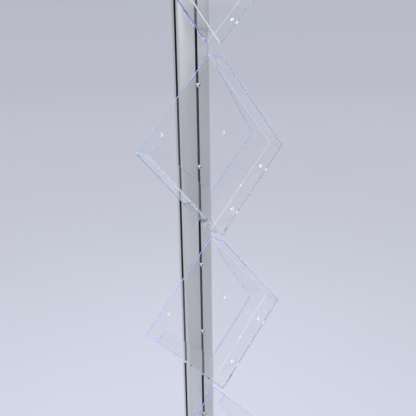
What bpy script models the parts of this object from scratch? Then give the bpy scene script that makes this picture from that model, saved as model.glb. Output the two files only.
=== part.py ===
"""Free-standing brochure rack: an extruded aluminium post with T-slots on a steel base plate.

Four clear acrylic pockets hang on the front slot as diamonds, one above another. Each pocket is
held by two pan head screws that pass through its back into square nuts in the slot, so a pocket
slides up or down the post when its screws are slackened.

Metres, +Z up, the front faces -Y. The origin is on the floor under the middle of the base plate.
"""

import math

import bmesh
import bpy
from mathutils import Matrix, Vector

# Clearance left between pieces that rest on or fill one another.
REST_GAP = 0.0003

# Post: a flattened oval tube with a T-slot in the middle of each of its four faces.
POST_LENGTH = 1.740
POST_WIDTH = 0.070
POST_DEPTH = 0.030
POST_ROUNDNESS = 4.4
POST_WALL = 0.0020
POST_RIB = 0.0018
SLOT_LIP = 0.0020
CHANNEL_DEPTH = 0.0050
PORT_WALL = 0.0015
CHAMBER_ROUND = 0.0030

# Cap pushed into the top of the post.
CAP_THICKNESS = 0.0025
CAP_PLUG_LENGTH = 0.0120

# Base plate, the screws up through it into the post, and its rubber feet.
BASE_WIDTH = 0.420
BASE_DEPTH = 0.340
BASE_THICKNESS = 0.008
BASE_CORNER = 0.040
BASE_SCREW_DIAMETER = 0.0060
BASE_SCREW_HEAD = 0.0120
BASE_SCREW_LENGTH = 0.030
BASE_SCREW_HOLE_CLEARANCE = 0.0004
BASE_SOCKET = 0.0040
BASE_SOCKET_DEPTH = 0.0022
FOOT_DIAMETER = 0.032
FOOT_HEIGHT = 0.004
FOOT_CHAMFER = 0.0008
FOOT_INSET = 0.045

# Pocket: an open box in clear acrylic, with a deep cut-out in its front.
POCKET_WIDTH = 0.232
POCKET_HEIGHT = 0.253
POCKET_DEPTH = 0.0375
POCKET_WALL = 0.0025
POCKET_CORNER = 0.0060
CUTOUT_ARM = 0.0230
CUTOUT_LEAN = 0.0195
CUTOUT_LIP = 0.0900
CUTOUT_ROUND = 0.0110
CUTOUT_TIP_ROUND = 0.0050

# Holes in the pocket's back, in pairs either side of its middle: half spacing, drop from the rim.
RIM_HOLE_OFFSET = 0.0585
RIM_HOLE_DROP = 0.0194
MID_HOLE_OFFSET = 0.0425
MID_HOLE_DROP = 0.1330
FLOOR_HOLE = 0.0055
FLOOR_HOLE_OFFSET = 0.0550

# Where the pockets sit: top corner below the post's end, then the clear space between neighbours.
TOP_POCKET_DROP = 0.014
POCKET_GAPS = (0.0165, 0.0110, 0.0160)

# Pan head screws and square nuts, with the room left around the screw, the nut and its end.
SCREW_DIAMETER = 0.0050
SCREW_CLEARANCE = 0.0010
SCREW_PROTRUSION = 0.0008
SCREW_HEAD = 0.0095
SCREW_HEAD_HEIGHT = 0.0036
SCREW_RECESS = 0.0046
SCREW_RECESS_WIDTH = 0.0012
SCREW_RECESS_DEPTH = 0.0018
NUT_BEARING = 0.0010
NUT_THICKNESS = 0.0027
NUT_CLEARANCE = 0.0013

# Smoothness of round shapes.
ROUND_STEPS = 24
SMALL_ARC_STEPS = 5
POST_STEPS = 72
SMOOTH_ANGLE = math.radians(35.0)
# How far a cutting shape runs past the surface it opens.
OVERCUT = 0.002

# Sizes that follow the screws: the holes and slots they pass, the nuts, and the nuts' channel.
BACK_HOLE = SCREW_DIAMETER + SCREW_CLEARANCE
SLOT_WIDTH = SCREW_DIAMETER + SCREW_CLEARANCE
NUT_WIDTH = SLOT_WIDTH + 2.0 * NUT_BEARING
CHANNEL_WIDTH = NUT_WIDTH + 2.0 * NUT_CLEARANCE
SCREW_LENGTH = POCKET_WALL + SLOT_LIP + NUT_THICKNESS + SCREW_PROTRUSION

# Heights and places worked out from the sizes above.
PLATE_BOTTOM = FOOT_HEIGHT + REST_GAP
PLATE_TOP = PLATE_BOTTOM + BASE_THICKNESS
POST_BOTTOM = PLATE_TOP + REST_GAP
POST_TOP = POST_BOTTOM + POST_LENGTH
POST_FRONT = -POST_DEPTH / 2.0
SLOT_DEPTH = SLOT_LIP + CHANNEL_DEPTH
PORT_RADIUS = BASE_SCREW_DIAMETER / 2.0 + REST_GAP
CHAMBER_INNER = CHANNEL_WIDTH / 2.0 + POST_RIB
CHAMBER_OUTER = POST_WIDTH / 2.0 - SLOT_DEPTH - POST_RIB
PORT_OFFSET = (CHAMBER_INNER + CHAMBER_OUTER) / 2.0

# The pocket leans until one rim hole stands straight above the far middle hole.
POCKET_TILT = math.atan2(RIM_HOLE_OFFSET + MID_HOLE_OFFSET, MID_HOLE_DROP - RIM_HOLE_DROP)


def clear_scene():
    """Remove whatever the scene starts with."""
    for item in list(bpy.data.objects):
        bpy.data.objects.remove(item, do_unlink=True)


# ---------------------------------------------------------------- materials


def make_material(name, color, roughness, metallic, transmission=0.0):
    """One Principled surface."""
    material = bpy.data.materials.new(name)
    material.use_nodes = True
    shader = material.node_tree.nodes["Principled BSDF"]
    shader.inputs["Base Color"].default_value = (*color, 1.0)
    shader.inputs["Roughness"].default_value = roughness
    shader.inputs["Metallic"].default_value = metallic
    shader.inputs["Transmission Weight"].default_value = transmission
    material.diffuse_color = (*color, 1.0)
    return material


def anodised_aluminium():
    return make_material("anodised_aluminium", (0.72, 0.73, 0.75), 0.35, 1.0)


def clear_acrylic():
    return make_material("clear_acrylic", (0.86, 0.90, 0.98), 0.03, 0.0, 0.9)


def zinc_plated_steel():
    return make_material("zinc_plated_steel", (0.66, 0.72, 0.75), 0.22, 1.0)


def silver_powder_coat():
    return make_material("silver_powder_coat", (0.55, 0.56, 0.58), 0.45, 0.3)


def grey_plastic():
    return make_material("grey_plastic", (0.34, 0.35, 0.37), 0.5, 0.0)


def black_rubber():
    return make_material("black_rubber", (0.03, 0.03, 0.03), 0.85, 0.0)


# ---------------------------------------------------------------- outlines


def rounded_outline(corners):
    """Closed outline from (x, y, radius) corners; each corner with a radius becomes an arc."""
    points = []
    for index, (x, y, radius) in enumerate(corners):
        here = Vector((x, y))
        if radius <= 0.0:
            points.append(here)
            continue
        before = Vector(corners[index - 1][:2])
        after = Vector(corners[(index + 1) % len(corners)][:2])
        to_before = (before - here).normalized()
        to_after = (after - here).normalized()
        half_angle = to_before.angle(to_after) / 2.0
        centre = here + (to_before + to_after).normalized() * (radius / math.sin(half_angle))
        reach = radius / math.tan(half_angle)
        first = here + to_before * reach - centre
        last = here + to_after * reach - centre
        sweep = first.angle_signed(last)
        for step in range(SMALL_ARC_STEPS + 1):
            turn = Matrix.Rotation(-sweep * step / SMALL_ARC_STEPS, 2)
            points.append(centre + turn @ first)
    return points


def box_outline(left, low, right, high):
    return rounded_outline([(left, low, 0.0), (right, low, 0.0), (right, high, 0.0), (left, high, 0.0)])


def circle_outline(x, y, radius, steps=ROUND_STEPS):
    """Points around a circle."""
    angles = [math.tau * step / steps for step in range(steps)]
    return [Vector((x + radius * math.cos(a), y + radius * math.sin(a))) for a in angles]


def post_outline():
    """The post's flattened oval: each half axis times a root of the circle's own cosine and sine."""
    points = []
    for step in range(POST_STEPS):
        angle = math.tau * (step + 0.5) / POST_STEPS
        across = math.copysign(abs(math.cos(angle)) ** (2.0 / POST_ROUNDNESS), math.cos(angle))
        through = math.copysign(abs(math.sin(angle)) ** (2.0 / POST_ROUNDNESS), math.sin(angle))
        points.append(Vector((across * POST_WIDTH / 2.0, through * POST_DEPTH / 2.0)))
    return points


def post_half_depth(x):
    """Distance from the post's middle plane to its front or back face at x."""
    share = abs(x) / (POST_WIDTH / 2.0)
    return POST_DEPTH / 2.0 * (1.0 - share ** POST_ROUNDNESS) ** (1.0 / POST_ROUNDNESS)


def chamber_outline(side, face, inset):
    """One of the four hollow chambers beside the screw ports, shrunk by an inset."""
    inner = CHAMBER_INNER + inset
    outer = CHAMBER_OUTER - inset
    low = POST_RIB / 2.0 + inset
    high = post_half_depth(CHAMBER_OUTER) - POST_WALL - inset
    boss = PORT_RADIUS + PORT_WALL + inset
    start = math.asin(low / boss)
    points = []
    for step in range(SMALL_ARC_STEPS * 2 + 1):
        angle = math.pi - start - (math.pi - 2.0 * start) * step / (SMALL_ARC_STEPS * 2)
        points.append((PORT_OFFSET + boss * math.cos(angle), boss * math.sin(angle), 0.0))
    points += [(outer, low, 0.0), (outer, high, CHAMBER_ROUND), (inner, high, 0.0), (inner, low, 0.0)]
    return [Vector((side * p.x, face * p.y)) for p in rounded_outline(points)]


# ---------------------------------------------------------------- solids


def finish_mesh(shape, name):
    """Turn a bmesh into a mesh with its faces pointing out and its round sides smooth."""
    bmesh.ops.recalc_face_normals(shape, faces=shape.faces)
    mesh = bpy.data.meshes.new(name)
    shape.to_mesh(mesh)
    shape.free()
    mesh.shade_smooth()
    mesh.set_sharp_from_angle(angle=SMOOTH_ANGLE)
    return mesh


def prism(name, outlines, low, high, along="Z"):
    """Solid with the given outlines pulled from low to high along Z, or along Y from an XZ outline."""
    shape = bmesh.new()
    for outline in outlines:
        if along == "Z":
            ring = [shape.verts.new((p.x, p.y, low)) for p in outline]
            travel = Vector((0.0, 0.0, high - low))
        else:
            ring = [shape.verts.new((p.x, low, p.y)) for p in outline]
            travel = Vector((0.0, high - low, 0.0))
        face = shape.faces.new(ring)
        pulled = bmesh.ops.extrude_face_region(shape, geom=[face], use_keep_orig=True)
        moved = [item for item in pulled["geom"] if isinstance(item, bmesh.types.BMVert)]
        bmesh.ops.translate(shape, vec=travel, verts=moved)
    return finish_mesh(shape, name)


def turned(name, profile):
    """Solid of revolution about Z from (radius, height) points that start and end on the axis."""
    shape = bmesh.new()
    verts = [shape.verts.new((radius, 0.0, height)) for radius, height in profile]
    edges = [shape.edges.new(pair) for pair in zip(verts, verts[1:])]
    bmesh.ops.spin(
        shape,
        geom=verts + edges,
        cent=(0.0, 0.0, 0.0),
        axis=(0.0, 0.0, 1.0),
        angle=math.tau,
        steps=ROUND_STEPS,
        use_merge=True,
    )
    bmesh.ops.remove_doubles(shape, verts=shape.verts, dist=1.0e-6)
    return finish_mesh(shape, name)


def combine(name, body, tools, operation):
    """Cut the tool meshes out of the body mesh, or join them to it, and return the new mesh."""
    carrier = bpy.data.objects.new(name + "_carrier", body)
    bpy.context.collection.objects.link(carrier)
    helpers = []
    for tool in tools:
        helper = bpy.data.objects.new(name + "_tool", tool)
        bpy.context.collection.objects.link(helper)
        helpers.append(helper)
        modifier = carrier.modifiers.new("combine", "BOOLEAN")
        modifier.operation = operation
        modifier.object = helper
    graph = bpy.context.evaluated_depsgraph_get()
    mesh = bpy.data.meshes.new_from_object(carrier.evaluated_get(graph))
    mesh.name = name
    for item in [carrier] + helpers:
        bpy.data.objects.remove(item, do_unlink=True)
    mesh.shade_smooth()
    mesh.set_sharp_from_angle(angle=SMOOTH_ANGLE)
    return mesh


def place(name, mesh, material, location=(0.0, 0.0, 0.0), parent=None, turn=None):
    """Put a mesh in the scene as one named piece with its material."""
    item = bpy.data.objects.new(name, mesh)
    bpy.context.collection.objects.link(item)
    if not mesh.materials:
        mesh.materials.append(material)
    item.location = location
    if turn is not None:
        item.rotation_euler = turn
    item.parent = parent
    return item


# ---------------------------------------------------------------- post


def slot_cutters():
    """Four T-shaped channels: a narrow mouth, then a wider channel behind the lips."""
    half_mouth = SLOT_WIDTH / 2.0
    half_channel = CHANNEL_WIDTH / 2.0
    cutters = []
    for turn in range(4):
        reach = POST_DEPTH / 2.0 if turn % 2 == 0 else POST_WIDTH / 2.0
        profile = [
            (-half_mouth, -reach - OVERCUT),
            (half_mouth, -reach - OVERCUT),
            (half_mouth, -reach + SLOT_LIP),
            (half_channel, -reach + SLOT_LIP),
            (half_channel, -reach + SLOT_DEPTH),
            (-half_channel, -reach + SLOT_DEPTH),
            (-half_channel, -reach + SLOT_LIP),
            (-half_mouth, -reach + SLOT_LIP),
        ]
        swing = Matrix.Rotation(math.radians(90.0) * turn, 2)
        outline = [swing @ Vector(point) for point in profile]
        cutters.append(prism("slot", [outline], -OVERCUT, POST_LENGTH + OVERCUT))
    return cutters


def chamber_outlines(inset=0.0):
    return [chamber_outline(side, face, inset) for side in (-1, 1) for face in (-1, 1)]


def port_positions():
    """Across the post: a port in the middle and one in the rib on either side."""
    return {"left": -PORT_OFFSET, "middle": 0.0, "right": PORT_OFFSET}


def post_mesh():
    """The extrusion, from z = 0 up."""
    body = prism("post", [post_outline()], 0.0, POST_LENGTH)
    ports = [circle_outline(x, 0.0, PORT_RADIUS) for x in port_positions().values()]
    hollows = prism("hollows", chamber_outlines() + ports, -OVERCUT, POST_LENGTH + OVERCUT)
    return combine("post", body, slot_cutters() + [hollows], "DIFFERENCE")


def top_cap_mesh():
    """Flat lid with four plugs that fill the post's chambers."""
    lid = prism("lid", [post_outline()], REST_GAP, REST_GAP + CAP_THICKNESS)
    plugs = prism("plugs", chamber_outlines(REST_GAP), -CAP_PLUG_LENGTH, REST_GAP + CAP_THICKNESS / 2.0)
    return combine("top_cap", lid, [plugs], "UNION")


def build_post():
    place("post_extrusion", post_mesh(), anodised_aluminium(), (0.0, 0.0, POST_BOTTOM))
    place("post_top_cap", top_cap_mesh(), grey_plastic(), (0.0, 0.0, POST_TOP))


# ---------------------------------------------------------------- base


def countersunk_profile(growth, length):
    """Countersunk screw from its flat head at z = 0 up; growth widens it into its own hole."""
    shank = BASE_SCREW_DIAMETER / 2.0 + growth
    head = BASE_SCREW_HEAD / 2.0 + growth
    cone = (BASE_SCREW_HEAD - BASE_SCREW_DIAMETER) / 2.0
    return [(0.0, 0.0), (head, 0.0), (shank, cone), (shank, length), (0.0, length)]


def base_screw_mesh():
    """Countersunk machine screw, head down, with a hexagon socket."""
    body = turned("base_screw", countersunk_profile(0.0, BASE_SCREW_LENGTH))
    hexagon = circle_outline(0.0, 0.0, BASE_SOCKET / math.sqrt(3.0), 6)
    socket = prism("socket", [hexagon], -OVERCUT, BASE_SOCKET_DEPTH)
    return combine("base_screw", body, [socket], "DIFFERENCE")


def base_plate_mesh():
    """Steel plate with rounded corners and three countersunk holes, from z = 0 up."""
    half_width = BASE_WIDTH / 2.0
    half_depth = BASE_DEPTH / 2.0
    outline = rounded_outline([
        (-half_width, -half_depth, BASE_CORNER),
        (half_width, -half_depth, BASE_CORNER),
        (half_width, half_depth, BASE_CORNER),
        (-half_width, half_depth, BASE_CORNER),
    ])
    plate = prism("base_plate", [outline], 0.0, BASE_THICKNESS)
    holes = []
    for x in port_positions().values():
        profile = countersunk_profile(BASE_SCREW_HOLE_CLEARANCE, BASE_THICKNESS + OVERCUT)
        below = [(0.0, -OVERCUT), (profile[1][0], -OVERCUT)] + profile[1:]
        hole = turned("hole", below)
        hole.transform(Matrix.Translation((x, 0.0, 0.0)))
        holes.append(hole)
    return combine("base_plate", plate, holes, "DIFFERENCE")


def foot_mesh():
    """Rubber disc with a chamfered rim, from the floor up."""
    radius = FOOT_DIAMETER / 2.0
    return turned("rubber_foot", [
        (0.0, 0.0),
        (radius - FOOT_CHAMFER, 0.0),
        (radius, FOOT_CHAMFER),
        (radius, FOOT_HEIGHT),
        (0.0, FOOT_HEIGHT),
    ])


def build_base():
    place("base_plate", base_plate_mesh(), silver_powder_coat(), (0.0, 0.0, PLATE_BOTTOM))
    steel = zinc_plated_steel()
    screw = base_screw_mesh()
    for side, x in port_positions().items():
        place("base_screw_" + side, screw, steel, (x, 0.0, PLATE_BOTTOM))
    rubber = black_rubber()
    foot = foot_mesh()
    reach_x = BASE_WIDTH / 2.0 - FOOT_INSET
    reach_y = BASE_DEPTH / 2.0 - FOOT_INSET
    for depth_name, y in (("front", -reach_y), ("rear", reach_y)):
        for side_name, x in (("left", -reach_x), ("right", reach_x)):
            place("rubber_foot_" + depth_name + "_" + side_name, foot, rubber, (x, y, 0.0))


# ---------------------------------------------------------------- pockets


def pocket_body_outline(inset, rise):
    """The pocket's face outline; the inset shrinks it and the rise lifts it past the rim."""
    half = POCKET_WIDTH / 2.0 - inset
    low = -POCKET_HEIGHT / 2.0 + inset
    high = POCKET_HEIGHT / 2.0 + rise
    corner = POCKET_CORNER - inset
    return rounded_outline([(-half, low, corner), (half, low, corner), (half, high, 0.0), (-half, high, 0.0)])


def cutout_outline():
    """Opening in the pocket's front: wide at the rim, narrower at the lip, all corners rounded."""
    rim = POCKET_HEIGHT / 2.0
    lip = -POCKET_HEIGHT / 2.0 + CUTOUT_LIP
    rim_half = POCKET_WIDTH / 2.0 - CUTOUT_ARM
    lip_half = rim_half - CUTOUT_LEAN
    flare = CUTOUT_TIP_ROUND
    return rounded_outline([
        (-lip_half, lip, CUTOUT_ROUND),
        (lip_half, lip, CUTOUT_ROUND),
        (rim_half - flare / 4.0, rim - flare, flare / 2.0),
        (rim_half + flare, rim + OVERCUT, 0.0),
        (-rim_half - flare, rim + OVERCUT, 0.0),
        (-rim_half + flare / 4.0, rim - flare, flare / 2.0),
    ])


def back_holes():
    """Centres of the four holes in the back: (x, z) from the pocket's middle."""
    rim = POCKET_HEIGHT / 2.0
    pairs = ((RIM_HOLE_OFFSET, RIM_HOLE_DROP), (MID_HOLE_OFFSET, MID_HOLE_DROP))
    return [Vector((side * offset, rim - drop)) for offset, drop in pairs for side in (-1, 1)]


def pocket_mesh():
    """Open box whose back lies at y = 0 and whose front lies at y = -POCKET_DEPTH."""
    body = prism("pocket", [pocket_body_outline(0.0, 0.0)], -POCKET_DEPTH, 0.0, "Y")
    cavity_front = -POCKET_DEPTH + POCKET_WALL
    cavity = prism("cavity", [pocket_body_outline(POCKET_WALL, OVERCUT)], cavity_front, -POCKET_WALL, "Y")
    cutout = prism("cutout", [cutout_outline()], -POCKET_DEPTH - OVERCUT, -POCKET_DEPTH / 2.0, "Y")
    circles = [circle_outline(hole.x, hole.y, BACK_HOLE / 2.0) for hole in back_holes()]
    holes = prism("holes", circles, -POCKET_DEPTH / 2.0, OVERCUT, "Y")
    drains = [circle_outline(side * FLOOR_HOLE_OFFSET, -POCKET_DEPTH / 2.0, FLOOR_HOLE / 2.0) for side in (-1, 1)]
    floor = -POCKET_HEIGHT / 2.0
    floor_holes = prism("drains", drains, floor - OVERCUT, floor + POCKET_WALL + OVERCUT)
    return combine("acrylic_pocket", body, [cavity, cutout, holes, floor_holes], "DIFFERENCE")


def cross_outline(half_length, half_width):
    """Plus-shaped outline of the screw's recess."""
    quarter = [(half_width, -half_length), (half_width, -half_width), (half_length, -half_width)]
    points = []
    for turn in range(4):
        swing = Matrix.Rotation(math.radians(90.0) * turn, 2)
        points += [swing @ Vector(point) for point in quarter]
    return points


def pan_screw_mesh():
    """Pan head screw along Z, underside of the head at z = 0 and the shank below it."""
    head = SCREW_HEAD / 2.0
    shank = SCREW_DIAMETER / 2.0
    profile = [(0.0, -SCREW_LENGTH), (shank, -SCREW_LENGTH), (shank, 0.0), (head, 0.0)]
    rim_height = SCREW_HEAD_HEIGHT * 0.45
    for step in range(SMALL_ARC_STEPS + 1):
        angle = math.radians(90.0) * step / SMALL_ARC_STEPS
        dome = (SCREW_HEAD_HEIGHT - rim_height) * math.sin(angle)
        profile.append((head * math.cos(angle) ** 0.5 if step < SMALL_ARC_STEPS else 0.0, rim_height + dome))
    body = turned("pan_screw", profile)
    cross = cross_outline(SCREW_RECESS / 2.0, SCREW_RECESS_WIDTH / 2.0)
    top = SCREW_HEAD_HEIGHT + OVERCUT
    recess = prism("recess", [cross], SCREW_HEAD_HEIGHT - SCREW_RECESS_DEPTH, top)
    return combine("pan_screw", body, [recess], "DIFFERENCE")


def square_nut_mesh():
    """Square nut lying flat, from z = 0 up, bored to clear the screw."""
    half = NUT_WIDTH / 2.0
    block = prism("square_nut", [box_outline(-half, -half, half, half)], 0.0, NUT_THICKNESS)
    bore = circle_outline(0.0, 0.0, SCREW_DIAMETER / 2.0 + REST_GAP)
    drill = prism("bore", [bore], -OVERCUT, NUT_THICKNESS + OVERCUT)
    return combine("square_nut", block, [drill], "DIFFERENCE")


def tilted(point):
    """Turn an (x, z) place on the upright pocket into its leaning place."""
    return Matrix.Rotation(POCKET_TILT, 2) @ point


def pocket_half_rise():
    """Half of the height that the leaning pocket takes up."""
    return (POCKET_WIDTH * math.sin(POCKET_TILT) + POCKET_HEIGHT * math.cos(POCKET_TILT)) / 2.0


def pocket_centre_heights():
    """Heights of the four pockets' middles, top pocket first."""
    heights = [POST_TOP - TOP_POCKET_DROP - pocket_half_rise()]
    for gap in POCKET_GAPS:
        heights.append(heights[-1] - gap - 2.0 * pocket_half_rise())
    return heights


def build_pocket(number, height, meshes, materials):
    """One pocket with its screws and nuts, carried by an empty on the front slot's line."""
    slide = bpy.data.objects.new("pocket_{}_slide".format(number), None)
    bpy.context.collection.objects.link(slide)
    slide.location = (0.0, POST_FRONT, height)
    rim_left, rim_right, mid_left, mid_right = [tilted(hole) for hole in back_holes()]
    shell_place = (-rim_right.x, -REST_GAP, 0.0)
    name = "pocket_{}".format(number)
    place(name + "_shell", meshes["shell"], materials["acrylic"], shell_place, slide, (0.0, -POCKET_TILT, 0.0))
    head_seat = -2.0 * REST_GAP - POCKET_WALL
    nut_seat = SLOT_LIP + REST_GAP
    facing_front = (math.radians(90.0), 0.0, 0.0)
    for level, hole in (("upper", rim_right), ("lower", mid_left)):
        screw_name = name + "_" + level + "_screw"
        place(screw_name, meshes["screw"], materials["steel"], (0.0, head_seat, hole.y), slide, facing_front)
        nut_name = name + "_" + level + "_nut"
        nut_place = (0.0, nut_seat + NUT_THICKNESS, hole.y)
        place(nut_name, meshes["nut"], materials["steel"], nut_place, slide, facing_front)


def build_pockets():
    meshes = {"shell": pocket_mesh(), "screw": pan_screw_mesh(), "nut": square_nut_mesh()}
    materials = {"acrylic": clear_acrylic(), "steel": zinc_plated_steel()}
    for number, height in enumerate(pocket_centre_heights(), start=1):
        build_pocket(number, height, meshes, materials)


clear_scene()
build_base()
build_post()
build_pockets()
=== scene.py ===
import math

import bmesh
import bpy
from mathutils import Matrix, Vector


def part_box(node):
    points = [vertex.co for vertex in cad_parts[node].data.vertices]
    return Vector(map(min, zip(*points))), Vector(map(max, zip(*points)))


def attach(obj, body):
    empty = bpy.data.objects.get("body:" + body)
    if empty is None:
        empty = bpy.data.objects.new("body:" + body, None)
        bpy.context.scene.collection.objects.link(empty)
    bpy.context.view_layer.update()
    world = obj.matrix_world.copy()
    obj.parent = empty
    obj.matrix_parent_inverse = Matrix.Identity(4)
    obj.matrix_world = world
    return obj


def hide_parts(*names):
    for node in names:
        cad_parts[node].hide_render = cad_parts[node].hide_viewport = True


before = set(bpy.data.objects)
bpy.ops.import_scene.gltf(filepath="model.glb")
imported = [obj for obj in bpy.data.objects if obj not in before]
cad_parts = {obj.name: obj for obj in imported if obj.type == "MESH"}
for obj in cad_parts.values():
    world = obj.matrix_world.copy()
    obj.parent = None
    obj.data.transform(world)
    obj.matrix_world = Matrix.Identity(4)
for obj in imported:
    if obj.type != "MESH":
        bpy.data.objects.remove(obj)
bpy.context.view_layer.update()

# ------------------------------------------------------------------ base plate
# The foot of the rack: a flat sheet of 8 mm steel, cut with round corners, its edges broken,
# countersunk from below for the post's screws, and powder coated in a fine textured silver.

BASE_CORNER = 0.040
BASE_EDGE_BREAK = 0.0010
BASE_EDGE_STEPS = 3
BASE_SCREW_DIAMETER = 0.0060
BASE_SCREW_HEAD = 0.0120
BASE_SCREW_CLEARANCE = 0.0004
FINE_ARC = 10
ROUND = 48
SMOOTH_ANGLE = 30.0
POWDER_SILVER = (0.50, 0.51, 0.53, 1.0)
POWDER_SHADE = (0.43, 0.44, 0.46, 1.0)


def rounded_outline(corners, steps=FINE_ARC):
    """Closed outline from (x, y, radius) corners; each corner with a radius becomes an arc."""
    points = []
    for index, (x, y, radius) in enumerate(corners):
        here = Vector((x, y))
        if radius <= 0.0:
            points.append(here)
            continue
        to_before = (Vector(corners[index - 1][:2]) - here).normalized()
        to_after = (Vector(corners[(index + 1) % len(corners)][:2]) - here).normalized()
        half_angle = to_before.angle(to_after) / 2.0
        centre = here + (to_before + to_after).normalized() * (radius / math.sin(half_angle))
        first = here + to_before * (radius / math.tan(half_angle)) - centre
        last = here + to_after * (radius / math.tan(half_angle)) - centre
        sweep = first.angle_signed(last)
        for step in range(steps + 1):
            points.append(centre + Matrix.Rotation(-sweep * step / steps, 2) @ first)
    return points


def circle(radius, x=0.0, y=0.0, steps=ROUND):
    angles = [math.tau * step / steps for step in range(steps)]
    return [Vector((x + radius * math.cos(a), y + radius * math.sin(a))) for a in angles]


def ring_at(shape, outline, height):
    return [shape.verts.new((point.x, point.y, height)) for point in outline]


def bridge(shape, lower, upper):
    """Band of faces between two rings with the same number of corners."""
    for index in range(len(lower)):
        shape.faces.new((lower[index - 1], lower[index], upper[index], upper[index - 1]))


def finished(name, shape):
    """Mesh of a closed shape, its faces turned outwards."""
    bmesh.ops.recalc_face_normals(shape, faces=shape.faces)
    mesh = bpy.data.meshes.new(name)
    shape.to_mesh(mesh)
    shape.free()
    return mesh


def layered_mesh(name, outer, holes=()):
    """Solid from stacked outlines, each a (height, outline) pair, with holes stacked alike."""
    shape = bmesh.new()
    ends = ([], [])
    for levels in (outer, *holes):
        rings = [ring_at(shape, outline, height) for height, outline in levels]
        for lower, upper in zip(rings, rings[1:]):
            bridge(shape, lower, upper)
        for end, ring in zip(ends, (rings[0], rings[-1])):
            end += [shape.edges.get((ring[index - 1], ring[index])) for index in range(len(ring))]
    for end in ends:
        bmesh.ops.triangle_fill(shape, edges=end, use_beauty=True, use_dissolve=False)
    return finished(name, shape)


def soften(mesh, angle=SMOOTH_ANGLE):
    """Shade round sides smooth and keep edges sharper than the angle crisp."""
    mesh.shade_smooth()
    mesh.set_sharp_from_angle(angle=math.radians(angle))
    return mesh


class Wire:
    """A shader socket that adds and multiplies like a number."""

    def __init__(self, shading, socket):
        self.shading = shading
        self.socket = socket

    def math(self, operation, other):
        return self.shading.node("ShaderNodeMath", {"operation": operation}, {0: self, 1: other})

    def __add__(self, other):
        return self.math("ADD", other)

    def __mul__(self, other):
        return self.math("MULTIPLY", other)

    __radd__ = __add__
    __rmul__ = __mul__


class Shading:
    """The nodes of a material or of the surround, fed into its one shader."""

    def __init__(self, owner, shader):
        owner.use_nodes = True
        self.nodes = owner.node_tree.nodes
        self.links = owner.node_tree.links
        self.shader = self.nodes[shader]

    def node(self, kind, settings=None, inputs=None, output=0):
        """Add a node, set it up, connect or fill its sockets and return one of its outputs."""
        node = self.nodes.new(kind)
        for label, value in (settings or {}).items():
            if label == "stops":
                ends = node.color_ramp.elements
                for index, (place, color) in enumerate(value):
                    stop = ends[index] if index < 2 else ends.new(place)
                    stop.position = place
                    stop.color = color
            else:
                setattr(node, label, value)
        for label, value in (inputs or {}).items():
            if isinstance(value, Wire):
                self.links.new(value.socket, node.inputs[label])
            else:
                node.inputs[label].default_value = value
        return Wire(self, node.outputs[output])

    def between(self, amount, low, high):
        """Colour between two, by an amount from 0 to 1."""
        return self.node("ShaderNodeMix", {"data_type": "RGBA"}, {0: amount, 6: low, 7: high}, 2)

    def ease(self, amount, low, high):
        """From 0 to 1, smoothly, as the amount goes from the low value to the high one."""
        settings = {"interpolation_type": "SMOOTHSTEP"}
        inputs = {"Value": amount, "From Min": low, "From Max": high}
        return self.node("ShaderNodeMapRange", settings, inputs)

    def feed(self, label, wire, shader=None):
        self.links.new(wire.socket, (shader or self.shader).inputs[label])


class Finish(Shading):
    """One material built round a Principled surface."""

    def __init__(self, name, **plain):
        self.material = bpy.data.materials.new(name)
        super().__init__(self.material, "Principled BSDF")
        for label, value in plain.items():
            socket = label.replace("_", " ").title().replace("Ior", "IOR")
            self.shader.inputs[socket].default_value = value

    def place(self, stretch=(1.0, 1.0, 1.0)):
        """Where a point of the surface lies, in metres, stretched along each axis."""
        spot = self.node("ShaderNodeTexCoord", output="Object")
        return self.node("ShaderNodeVectorMath", {"operation": "MULTIPLY"}, {0: spot, 1: stretch})

    def noise(self, scale, detail=3.0, stretch=(1.0, 1.0, 1.0)):
        """Even speckle or streaks from 0 to 1; the scale is in features per metre."""
        inputs = {"Vector": self.place(stretch), "Scale": scale, "Detail": detail}
        return self.node("ShaderNodeTexNoise", inputs=inputs, output="Fac")

    def bump(self, height, distance, strength=1.0):
        inputs = {"Height": height, "Distance": distance, "Strength": strength}
        return self.node("ShaderNodeBump", inputs=inputs)


def show(name, mesh, finishes, place=(0.0, 0.0, 0.0), turn=None):
    """Put a piece into the scene with one finish per material index."""
    piece = bpy.data.objects.new(name, mesh)
    bpy.context.collection.objects.link(piece)
    piece.location = place
    if turn is not None:
        piece.rotation_euler = turn
    if not mesh.materials:
        for finish in finishes:
            mesh.materials.append(finish.material)
    return piece


def middle(node):
    low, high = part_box(node)
    return (Vector(low) + Vector(high)) / 2.0


head_cone = (BASE_SCREW_HEAD - BASE_SCREW_DIAMETER) / 2.0


def countersunk_levels(growth, high):
    """Heights and radii of a countersunk hole, wide at the underside and grown by a clearance."""
    shank = BASE_SCREW_DIAMETER / 2.0 + growth
    head = BASE_SCREW_HEAD / 2.0 + growth
    return [(0.0, head), (head_cone, shank), (high, shank)]


plate_low, plate_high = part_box("base_plate")
plate_half = (Vector(plate_high) - Vector(plate_low)) / 2.0
plate_thick = plate_half.z * 2.0
base_screws = ("base_screw_left", "base_screw_middle", "base_screw_right")


def plate_outline(inset):
    half_x = plate_half.x - inset
    half_y = plate_half.y - inset
    corner = BASE_CORNER - inset
    return rounded_outline([
        (-half_x, -half_y, corner),
        (half_x, -half_y, corner),
        (half_x, half_y, corner),
        (-half_x, half_y, corner),
    ])


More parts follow.
